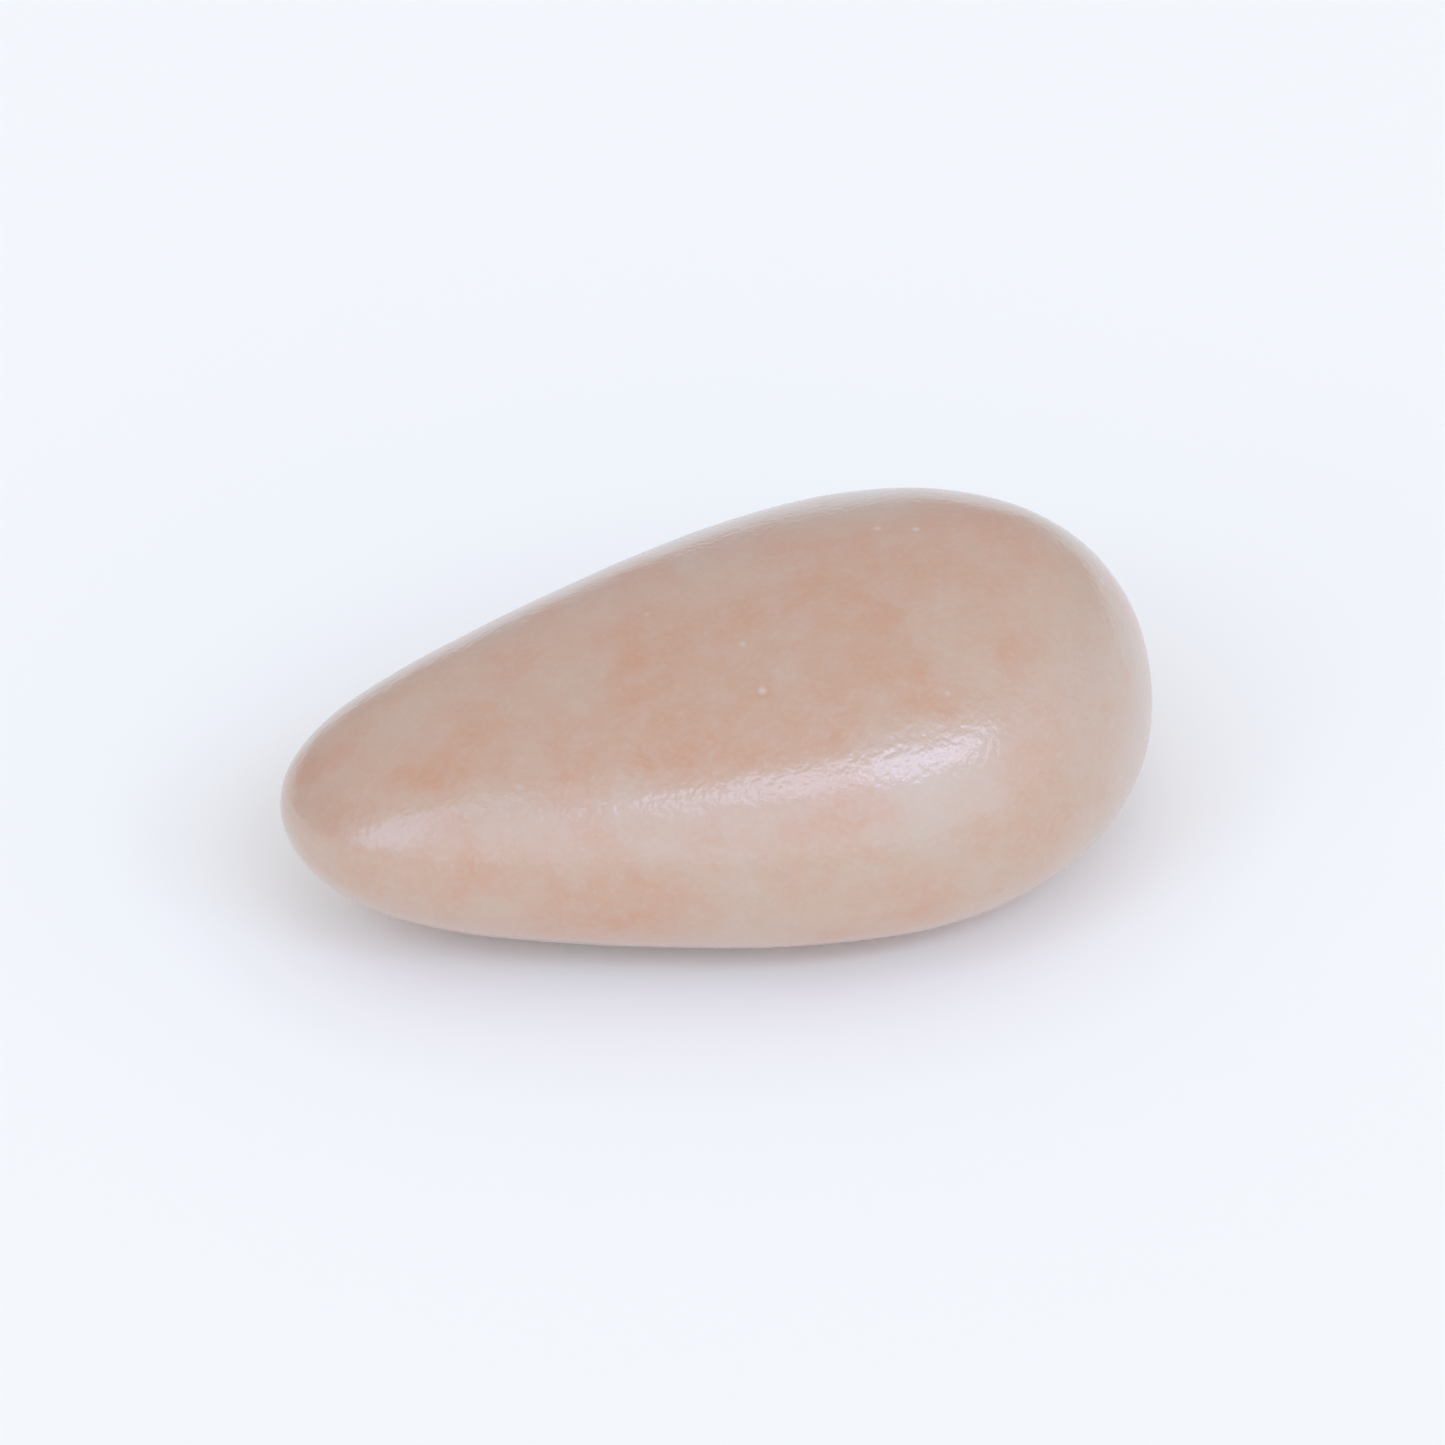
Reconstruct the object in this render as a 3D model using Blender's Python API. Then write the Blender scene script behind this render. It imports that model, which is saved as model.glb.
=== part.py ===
"""A sugared almond: one almond kernel under a hard panned sugar coating, lying on its flat side.

Metres, +Z up. The length runs along X, with the slender tip at -X and the blunt end at +X. The origin is on
the table, under the middle of the almond's outline. What shows is the coating alone, so it is one solid.
"""

import math
import random

import bmesh
import bpy
from mathutils import Vector

# Driving dimensions of the finished sweet. The two sections are those at the middle of its length.
LENGTH = 0.0305
WIDTH = 0.0177
THICKNESS = 0.0120

# The form, as shares of those dimensions. A taper of 0 would leave an even oval.
PLAN_TAPER = 0.24  # how much broader the blunt half is than the tip, seen from above
PLAN_FULLNESS = 0.02  # how full both ends are against a plain ellipse
PLAN_EVENNESS = -0.31  # below 0 the taper falls mostly in the middle, and the tip stays round
CROWN_TAPER = 0.47  # the taper of the upper side, seen from the side
BELLY_TAPER = 0.04  # the taper of the side that it lies on
SIDE_FULLNESS = 0.25  # how full both ends are, seen from the side
CROWN_EXCESS = 0.13  # how much higher the upper side arches than the side that it lies on
SECTION_POWER = 2.12  # 2 is an elliptical cross-section, and more than 2 a flatter crown over tighter edges
BOW = -0.0006  # the middle stands this far to the -Y side of a line from tip to blunt end

# Shallow swells and hollows that the almonds press into each other while they tumble in the coating pan.
TUMBLE_MARKS = 26
MARK_DEPTH = 0.00009
MARK_REACH = (0.28, 0.62)  # radius of a mark on the unit ball
MARK_SEED = 11

FOOT_DEPTH = 0.00005  # the belly is worn flat by this much where it lies on the table
SAME_POINT = 1e-7  # two points of the worn edge closer than this are one

GRID = 21  # quads along each side of the ball that becomes the coating: odd, so no corner is on the long axis
SHARPEST_SMOOTH_ANGLE = math.radians(50)

COATING_COLOUR = (0.475, 0.276, 0.165, 1.0)
COATING_ROUGHNESS = 0.32


def clear_scene():
    for old in list(bpy.data.objects):
        bpy.data.objects.remove(old)


def ball_point(cube_point):
    """A point of a cube of side 2 moved out to the unit ball, with the grid's cells kept nearly even."""
    squares = [c * c for c in cube_point]
    moved = []
    for axis in range(3):
        first, second = squares[axis - 1], squares[axis - 2]
        moved.append(cube_point[axis] * math.sqrt(1 - first / 2 - second / 2 + first * second / 3))
    return Vector(moved).normalized()


def tumble_marks():
    """The marks as (direction, reach, height), spread over the ball at random from a fixed seed."""
    draw = random.Random(MARK_SEED)
    marks = []
    for _ in range(TUMBLE_MARKS):
        direction = Vector([draw.gauss(0, 1) for _ in range(3)]).normalized()
        marks.append((direction, draw.uniform(*MARK_REACH), draw.uniform(-MARK_DEPTH, MARK_DEPTH)))
    return marks


def mark_height(ball, marks):
    """How far the marks lift the surface at a point of the unit ball."""
    lift = 0
    for direction, reach, height in marks:
        lift += height * math.exp(-(((ball - direction).length / reach) ** 2))
    return lift


def coating_point(ball, marks):
    """Where a point of the unit ball lies on the coating, before the almond is set on the table."""
    along = ball.x
    ring = math.hypot(ball.y, ball.z)
    side, up = ball.y / ring, ball.z / ring
    fuller = (abs(side) ** SECTION_POWER + abs(up) ** SECTION_POWER) ** (-1 / SECTION_POWER)
    towards_ends = along**2 - 1 / 3
    towards_tips = along**3 - along * 3 / 5
    breadth = 1 + PLAN_TAPER * along + PLAN_FULLNESS * towards_ends + PLAN_EVENNESS * towards_tips
    half_width = WIDTH / 2 * breadth
    crown_share = (1 + up) / 2
    side_taper = crown_share * CROWN_TAPER + (1 - crown_share) * BELLY_TAPER
    half_thickness = THICKNESS / 2 * (1 + side_taper * along + SIDE_FULLNESS * towards_ends)
    half_thickness *= 1 + CROWN_EXCESS * up
    x = LENGTH / 2 * along
    y = half_width * ring * fuller * side + BOW * (1 - along**2)
    z = half_thickness * ring * fuller * up
    return Vector((x, y, z)) + ball * mark_height(ball, marks)


def coating_mesh():
    """The closed surface of the coating: a gridded cube, rounded to a ball and drawn out to the form."""
    marks = tumble_marks()
    shape = bmesh.new()
    bmesh.ops.create_cube(shape, size=2.0)
    bmesh.ops.subdivide_edges(shape, edges=shape.edges[:], cuts=GRID - 1, use_grid_fill=True)
    for vertex in shape.verts:
        vertex.co = coating_point(ball_point(vertex.co), marks)
    return shape


def wear_foot_flat(shape):
    """Cuts the belly off at FOOT_DEPTH above its lowest point and closes it with one flat face."""
    level = min(v.co.z for v in shape.verts) + FOOT_DEPTH
    cut = bmesh.ops.bisect_plane(
        shape,
        geom=shape.verts[:] + shape.edges[:] + shape.faces[:],
        dist=SAME_POINT,
        plane_co=(0, 0, level),
        plane_no=(0, 0, 1),
        clear_inner=True,
    )
    rim = [item for item in cut["geom_cut"] if isinstance(item, bmesh.types.BMEdge)]
    bmesh.ops.contextual_create(shape, geom=rim)
    bmesh.ops.recalc_face_normals(shape, faces=shape.faces[:])


def set_on_table(shape):
    """Moves the almond so that the flat of its belly is at z = 0 and its outline is centred on the origin."""
    lowest = Vector([min(v.co[axis] for v in shape.verts) for axis in range(3)])
    highest = Vector([max(v.co[axis] for v in shape.verts) for axis in range(3)])
    middle = (lowest + highest) / 2
    bmesh.ops.translate(shape, verts=shape.verts[:], vec=(-middle.x, -middle.y, -lowest.z))


def coating_material():
    """Panned sugar, coloured like milky coffee and polished to a satin."""
    material = bpy.data.materials.new("panned_sugar")
    material.use_nodes = True
    shader = material.node_tree.nodes["Principled BSDF"]
    shader.inputs["Base Color"].default_value = COATING_COLOUR
    shader.inputs["Roughness"].default_value = COATING_ROUGHNESS
    return material


def make_almond():
    shape = coating_mesh()
    wear_foot_flat(shape)
    set_on_table(shape)
    mesh = bpy.data.meshes.new("sugared_almond")
    shape.to_mesh(mesh)
    shape.free()
    mesh.shade_smooth()
    mesh.set_sharp_from_angle(angle=SHARPEST_SMOOTH_ANGLE)
    mesh.materials.append(coating_material())
    almond = bpy.data.objects.new("sugared_almond", mesh)
    bpy.context.scene.collection.objects.link(almond)


clear_scene()
make_almond()
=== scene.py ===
import math

import bpy
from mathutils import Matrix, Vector


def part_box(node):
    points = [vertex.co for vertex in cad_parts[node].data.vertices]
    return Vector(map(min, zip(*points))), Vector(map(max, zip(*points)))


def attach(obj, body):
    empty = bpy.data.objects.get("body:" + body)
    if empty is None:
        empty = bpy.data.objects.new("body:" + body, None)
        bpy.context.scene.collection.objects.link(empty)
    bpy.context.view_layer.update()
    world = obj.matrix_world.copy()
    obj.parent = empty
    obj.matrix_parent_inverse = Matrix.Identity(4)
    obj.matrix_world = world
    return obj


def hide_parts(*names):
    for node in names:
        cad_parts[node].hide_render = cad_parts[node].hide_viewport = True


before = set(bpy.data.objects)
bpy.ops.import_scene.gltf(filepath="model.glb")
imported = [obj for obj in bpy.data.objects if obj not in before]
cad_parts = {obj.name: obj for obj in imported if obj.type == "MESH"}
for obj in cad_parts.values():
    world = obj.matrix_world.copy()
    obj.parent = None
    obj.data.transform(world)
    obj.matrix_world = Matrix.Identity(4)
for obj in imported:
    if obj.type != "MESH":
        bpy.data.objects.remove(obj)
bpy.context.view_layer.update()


# The sugar coating
# A whole almond kernel tumbles in a warm, turning copper pan while dozens of thin coats of sugar syrup dry on it.
# The almonds rub each other smooth, and the last turns in a dry pan polish them with a trace of wax. The shell is
# closed all round, so it is the whole of what shows, from the slender tip to the blunt end.

CAGE_CUTS = 15  # cuts across each side of the cube that becomes the shell, so about 1.9 mm apart
TIP_TO_BLUNT_TAPER = 0.65  # the blunt end is this much of the middle's girth thicker than the tip
SHELL_LEVELS = 3  # how often the cage is then split in four and rounded
CAGE_SAG = 0.000045  # the rounding draws the surface in by this much, so the shell is let out again

SWELL_WIDTH = 0.0042  # soft swells and hollows where the almonds leaned on each other
SWELL_HEIGHT = 0.000060
PEEL_WIDTH = 0.00075  # the faint orange peel that the last coats dry to
PEEL_HEIGHT = 0.0000135

solid_low, solid_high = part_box("sugared_almond")
half_size = (solid_high - solid_low) / 2
middle = (solid_low + solid_high) / 2

bpy.ops.object.select_all(action="DESELECT")
bpy.ops.mesh.primitive_cube_add(size=2)
shell = bpy.context.object
shell.name = "sugar_shell"
bpy.ops.object.mode_set(mode="EDIT")
bpy.ops.mesh.select_all(action="SELECT")
bpy.ops.mesh.subdivide(number_cuts=CAGE_CUTS)
bpy.ops.transform.tosphere(value=1)
bpy.ops.transform.resize(value=half_size)
bpy.ops.object.mode_set(mode="OBJECT")


def finish_with(piece, kind, **settings):
    """Adds a modifier with its settings to the piece and applies it."""
    modifier = piece.modifiers.new(kind.title(), kind)
    for name, value in settings.items():
        setattr(modifier, name, value)
    bpy.context.view_layer.objects.active = piece
    bpy.ops.object.modifier_apply(modifier=modifier.name)


finish_with(shell, "SIMPLE_DEFORM", deform_method="TAPER", deform_axis="X", factor=TIP_TO_BLUNT_TAPER)

bpy.ops.object.mode_set(mode="EDIT")
bpy.ops.transform.translate(value=middle)
bpy.ops.object.mode_set(mode="OBJECT")

finish_with(shell, "SHRINKWRAP", target=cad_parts["sugared_almond"], wrap_method="NEAREST_SURFACEPOINT")
finish_with(shell, "SUBSURF", levels=SHELL_LEVELS, render_levels=SHELL_LEVELS)
finish_with(shell, "DISPLACE", strength=CAGE_SAG, mid_level=0)

for name, width, height in (("swells", SWELL_WIDTH, SWELL_HEIGHT), ("orange_peel", PEEL_WIDTH, PEEL_HEIGHT)):
    relief = bpy.data.textures.new(name, "CLOUDS")
    relief.noise_scale = width
    relief.noise_depth = 1
    finish_with(shell, "DISPLACE", texture=relief, texture_coords="LOCAL", strength=height, mid_level=0.5)

# The belly lies flat, so what the relief pushed below the table is brought back up to it.
for vertex in shell.data.vertices:
    vertex.select = vertex.co.z < 0
for edge in shell.data.edges:
    edge.select = all(shell.data.vertices[v].select for v in edge.vertices)
for face in shell.data.polygons:
    face.select = all(shell.data.vertices[v].select for v in face.vertices)
bpy.ops.object.mode_set(mode="EDIT")
bpy.ops.transform.resize(value=(1, 1, 0), center_override=(0, 0, 0))
bpy.ops.object.mode_set(mode="OBJECT")
shell.data.shade_smooth()

# Panned sugar, coloured through like milky coffee, under a thin wax polish. Each coat dries a little unevenly, so
# the colour clouds softly, a few large crystals show as pale flecks, and the polish is a satin and not a glass.

MILKY_COFFEE = "#B49179"
TOASTED = "#B67C59"
CREAM = "#B89E8B"
FLECK = "#D6C9BE"

# For each pattern, its fade is the noise at which a patch starts and is whole, and its cover how much that hides.
CLOUD_WIDTH = 0.0048  # broad clouds where the syrup ran on thicker
CLOUD_FADE = (0.30, 0.70)
CLOUD_COVER = 0.85
TOAST_WIDTH = 0.0024  # warmer spots that the pan's heat leaves
TOAST_FADE = (0.52, 0.74)
TOAST_COVER = 0.65
SMUDGE_WIDTH = 0.0010  # pale smudges where sugar dust settled in the last coats
SMUDGE_FADE = (0.38, 0.72)
SMUDGE_COVER = 0.36
GRAIN_WIDTH = 0.00024  # the sugar's grain is about 0.05 mm, and is drawn this coarse so that it shows
GRAIN_FADE = (0.50, 0.80)
GRAIN_COVER = 0.25

CRYSTAL_SPACING = 0.0012
CRYSTAL_RADIUS = 0.00026  # of the largest
CRYSTALS_COVERED = 0.80  # this share of them lies wholly under the surface
CRYSTAL_REACH = CRYSTAL_RADIUS / CRYSTAL_SPACING  # the radius in the pattern's own units
CRYSTAL_COVER = 0.5

SUGAR_IOR = 1.56
SUGAR_LUSTRE = 0.8
DUST_FADE = (0.3, 0.7)  # the smudges' noise where the polish is free of dust, and where it is dustiest
POLISH_ROUGHNESS = (0.36, 0.48)  # in those two places
TOOTH_HEIGHT = 0.00003  # the grain's, under the polish
TOOTH_STRENGTH = 0.6
LIGHT_LET_IN = 0.12  # this share of the light goes into the sugar and comes out again
LIGHT_REACH = (0.0010, 0.0006, 0.0004)  # how far its red, green and blue travel there
WAX_IOR = 1.6  # wax alone is about 1.45, and this is matched to the lustre of wax on hard sugar
WAX_ROUGHNESS = 0.18


def linear(hex_colour):
    """An sRGB hex colour as linear red, green and blue, with an alpha of 1."""
    channels = [int(hex_colour[i : i + 2], 16) / 255 for i in (1, 3, 5)]
    return [c / 12.92 if c <= 0.04045 else ((c + 0.055) / 1.055) ** 2.4 for c in channels] + [1]


def add_node(tree, kind, settings=None, **links):
    """Adds a node with its settings and links. The link in6 leads into socket 6, any other into its namesake."""
    node = tree.nodes.new(kind)
    for name, value in (settings or {}).items():
        if isinstance(name, str) and hasattr(node, name):
            setattr(node, name, value)
        else:
            node.inputs[name].default_value = value
    for name, output in links.items():
        socket = node.inputs[int(name[2:])] if name.startswith("in") else node.inputs[name]
        tree.links.new(output, socket)
    return node


def lay_over(tree, below, shade, pattern, fade, cover=1.0, softness="SMOOTHSTEP"):
    """Lays a shade over the colour below it, from none to its cover as the pattern runs across the fade."""
    share = add_node(
        tree,
        "ShaderNodeMapRange",
        {"interpolation_type": softness, "From Min": fade[0], "From Max": fade[1], "To Max": cover},
        Value=pattern,
    )
    mixed = add_node(
        tree, "ShaderNodeMix", {"data_type": "RGBA", 7: shade}, in0=share.outputs["Result"], in6=below
    )
    return mixed.outputs[2]


panned_sugar = bpy.data.materials.new("panned_sugar")
panned_sugar.use_nodes = True
tree = panned_sugar.node_tree
tree.nodes.clear()

place = add_node(tree, "ShaderNodeTexCoord").outputs["Object"]
clouds = add_node(
    tree, "ShaderNodeTexNoise", {"Scale": 1 / CLOUD_WIDTH, "Detail": 1.5, "Roughness": 0.5}, Vector=place
)
toast = add_node(
    tree, "ShaderNodeTexNoise", {"Scale": 1 / TOAST_WIDTH, "Detail": 1.0, "Roughness": 0.5}, Vector=place
)
smudges = add_node(
    tree, "ShaderNodeTexNoise", {"Scale": 1 / SMUDGE_WIDTH, "Detail": 3.0, "Roughness": 0.65}, Vector=place
)
grain = add_node(
    tree, "ShaderNodeTexNoise", {"Scale": 1 / GRAIN_WIDTH, "Detail": 1.0, "Roughness": 0.5}, Vector=place
)

# Each crystal draws how far it is covered, and the surface cuts it that much smaller.
crystals = add_node(
    tree, "ShaderNodeTexVoronoi", {"Scale": 1 / CRYSTAL_SPACING, "Randomness": 1.0}, Vector=place
)
draw = add_node(tree, "ShaderNodeSeparateColor", Color=crystals.outputs["Color"])
covered = add_node(
    tree,
    "ShaderNodeMapRange",
    {"From Min": CRYSTALS_COVERED, "From Max": 1.0, "To Min": CRYSTAL_REACH, "To Max": 0.0},
    Value=draw.outputs["Red"],
)
from_crystal = add_node(
    tree,
    "ShaderNodeMath",
    {"operation": "ADD"},
    in0=crystals.outputs["Distance"],
    in1=covered.outputs["Result"],
)

sugar_colour = add_node(tree, "ShaderNodeRGB").outputs["Color"]
sugar_colour.default_value = linear(MILKY_COFFEE)
for shade, pattern, fade, cover, softness in (
    (TOASTED, clouds.outputs["Fac"], CLOUD_FADE, CLOUD_COVER, "LINEAR"),
    (TOASTED, toast.outputs["Fac"], TOAST_FADE, TOAST_COVER, "SMOOTHSTEP"),
    (CREAM, smudges.outputs["Fac"], SMUDGE_FADE, SMUDGE_COVER, "LINEAR"),
    (CREAM, grain.outputs["Fac"], GRAIN_FADE, GRAIN_COVER, "LINEAR"),
    (FLECK, from_crystal.outputs["Value"], (CRYSTAL_REACH, 0.0), CRYSTAL_COVER, "SMOOTHSTEP"),
):
    sugar_colour = lay_over(tree, sugar_colour, linear(shade), pattern, fade, cover, softness)

polish = add_node(
    tree,
    "ShaderNodeMapRange",
    {
        "From Min": DUST_FADE[0],
        "From Max": DUST_FADE[1],
        "To Min": POLISH_ROUGHNESS[0],
        "To Max": POLISH_ROUGHNESS[1],
    },
    Value=smudges.outputs["Fac"],
)
tooth = add_node(
    tree, "ShaderNodeBump", {"Strength": TOOTH_STRENGTH, "Distance": TOOTH_HEIGHT}, Height=grain.outputs["Fac"]
)

sugar = add_node(
    tree,
    "ShaderNodeBsdfPrincipled",
    {
        "IOR": SUGAR_IOR,
        "Specular IOR Level": SUGAR_LUSTRE,
        "Subsurface Weight": LIGHT_LET_IN,
        "Subsurface Radius": LIGHT_REACH,
        "Subsurface Scale": 1.0,
        "Coat Weight": 1.0,
        "Coat IOR": WAX_IOR,
        "Coat Roughness": WAX_ROUGHNESS,
    },
    **{
        "Base Color": sugar_colour,
        "Roughness": polish.outputs["Result"],
        "Normal": tooth.outputs["Normal"],
        "Coat Normal": tooth.outputs["Normal"],
    },
)
add_node(tree, "ShaderNodeOutputMaterial", Surface=sugar.outputs["BSDF"])

shell.data.materials.append(panned_sugar)
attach(shell, "root")
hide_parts("sugared_almond")


# The table
# A plain top of white laminate, pressed with a matt face. It shows as an even near-white without a reflection, and
# throws its light back up on the almond.

TABLE_ACROSS = 6.0
TABLE_WHITE = "#FBFAF5"
TABLE_ROUGHNESS = 0.8
TABLE_LUSTRE = 0.2

bpy.ops.mesh.primitive_plane_add(size=TABLE_ACROSS)
table = bpy.context.object
table.name = "table"
matt_laminate = bpy.data.materials.new("matt_laminate")
matt_laminate.use_nodes = True
tree = matt_laminate.node_tree
tree.nodes.clear()
laminate = add_node(
    tree,
    "ShaderNodeBsdfPrincipled",
    {"Base Color": linear(TABLE_WHITE), "Roughness": TABLE_ROUGHNESS, "Specular IOR Level": TABLE_LUSTRE},
)
add_node(tree, "ShaderNodeOutputMaterial", Surface=laminate.outputs["BSDF"])
table.data.materials.append(matt_laminate)


# The camera
# It looks down at the table at 36 degrees, from a third of a metre off, with the tip to the left and a little
# nearer. A long lens fills most of the frame with the almond.

CAMERA_AZIMUTH = -17.8
CAMERA_ELEVATION = 36.0
CAMERA_DISTANCE = 0.333
CAMERA_LENS = 245.0
SENSOR_WIDTH = 36.0
NEAREST_SEEN = 0.01
FURTHEST_SEEN = 10.0
AIM = Vector((0.0, 0.0, 0.0059))  # the middle of the almond's height


def direction(azimuth, elevation):
    """The way from the almond to a point at these degrees round it and above the table."""
    round_it, above = math.radians(azimuth), math.radians(elevation)
    return Vector((math.sin(round_it) * math.cos(above), -math.cos(round_it) * math.cos(above), math.sin(above)))


lens = bpy.data.cameras.new("camera")
lens.lens = CAMERA_LENS
lens.sensor_width = SENSOR_WIDTH
lens.clip_start = NEAREST_SEEN
lens.clip_end = FURTHEST_SEEN
camera = bpy.data.objects.new("camera", lens)
bpy.context.scene.collection.objects.link(camera)
towards_camera = direction(CAMERA_AZIMUTH, CAMERA_ELEVATION)
camera.location = AIM + towards_camera * CAMERA_DISTANCE
camera.rotation_euler = (-towards_camera).to_track_quat("-Z", "Y").to_euler()
bpy.context.scene.camera = camera

# How bright each brightness seen is shown: the middle tones are lifted a little, and the brightest roll off.
FILM_RESPONSE = (
    (0.00, 0.000),
    (0.10, 0.120),
    (0.28, 0.335),
    (0.47, 0.540),
    (0.60, 0.640),
    (0.80, 0.830),
    (1.00, 0.985),
    (1.20, 1.000),
)
ALL_CHANNELS = 3  # the curve that acts on red, green and blue together

view = bpy.context.scene.view_settings
view.view_transform = "Standard"
view.use_curve_mapping = True
response = view.curve_mapping
response.clip_max_x = FILM_RESPONSE[-1][0]
response.use_clip = False
film = response.curves[ALL_CHANNELS]
film.points[0].location = FILM_RESPONSE[0]
film.points[1].location = FILM_RESPONSE[-1]
for seen, shown in FILM_RESPONSE[1:-1]:
    film.points.new(seen, shown)
response.update()


# The light
# A white room by day. Cool daylight comes through three panes in the wall behind the camera, and draws the long
# streak on the almond's flank and the short one by its tip. The walls and ceiling glow, the panes' side most.

WINDOW_AZIMUTH = CAMERA_AZIMUTH + 8.0
WINDOW_OFF = 1.0  # from the almond to the window's wall
PANES = (
    # name, then the left, right, bottom and top edge on that wall, and the brightness
    ("window_left", -2.30, -0.90, 0.35, 3.00, 1.6),
    ("window_middle", -0.32, 0.12, 1.00, 1.34, 4.3),
    ("window_right", 0.18, 1.25, 1.06, 1.42, 6.7),
)
DAYLIGHT = "#C0D5FF"

facing_window = direction(WINDOW_AZIMUTH, 0)
along_wall = direction(WINDOW_AZIMUTH + 90, 0)
for name, left, right, bottom, top, brightness in PANES:
    pane = bpy.data.lights.new(name, "AREA")
    pane.shape = "RECTANGLE"
    pane.size = right - left
    pane.size_y = top - bottom
    pane.energy = brightness * math.pi * pane.size * pane.size_y
    pane.color = linear(DAYLIGHT)[:3]
    lamp = bpy.data.objects.new(name, pane)
    bpy.context.scene.collection.objects.link(lamp)
    middle_of_pane = along_wall * (left + right) / 2 + Vector((0, 0, (bottom + top) / 2))
    lamp.location = facing_window * WINDOW_OFF + middle_of_pane
    lamp.rotation_euler = facing_window.to_track_quat("Z", "Y").to_euler()

DIM_WALL = "#EDEDF4"
DIM_GLOW = 0.50
BRIGHT_WALL = "#E6EFFF"
BRIGHT_GLOW = 1.65
CEILING = "#F6F5F7"
CEILING_GLOW = 0.78

# A wall or ceiling fades in between two angles from its middle, given as their cosines.
BRIGHT_MIDDLE = direction(CAMERA_AZIMUTH + 25.0, 0)
BRIGHT_FADE = (-0.50, 1.00)
CEILING_MIDDLE = direction(CAMERA_AZIMUTH + 180, 72.0)  # not overhead, as the panes' wall is the nearer
CEILING_FADE = (0.32, 0.80)

white_room = bpy.data.worlds.new("white_room")
bpy.context.scene.world = white_room
white_room.use_nodes = True
tree = white_room.node_tree
tree.nodes.clear()
around = add_node(tree, "ShaderNodeTexCoord").outputs["Generated"]
room_glow = add_node(tree, "ShaderNodeRGB").outputs["Color"]
room_glow.default_value = [c * DIM_GLOW for c in linear(DIM_WALL)]
for colour, glow, middle_of_it, fade in (
    (BRIGHT_WALL, BRIGHT_GLOW, BRIGHT_MIDDLE, BRIGHT_FADE),
    (CEILING, CEILING_GLOW, CEILING_MIDDLE, CEILING_FADE),
):
    closeness = add_node(tree, "ShaderNodeVectorMath", {"operation": "DOT_PRODUCT", 1: middle_of_it}, in0=around)
    shade = [c * glow for c in linear(colour)]
    room_glow = lay_over(tree, room_glow, shade, closeness.outputs["Value"], fade)
background = add_node(tree, "ShaderNodeBackground", Color=room_glow)
add_node(tree, "ShaderNodeOutputWorld", Surface=background.outputs["Background"])
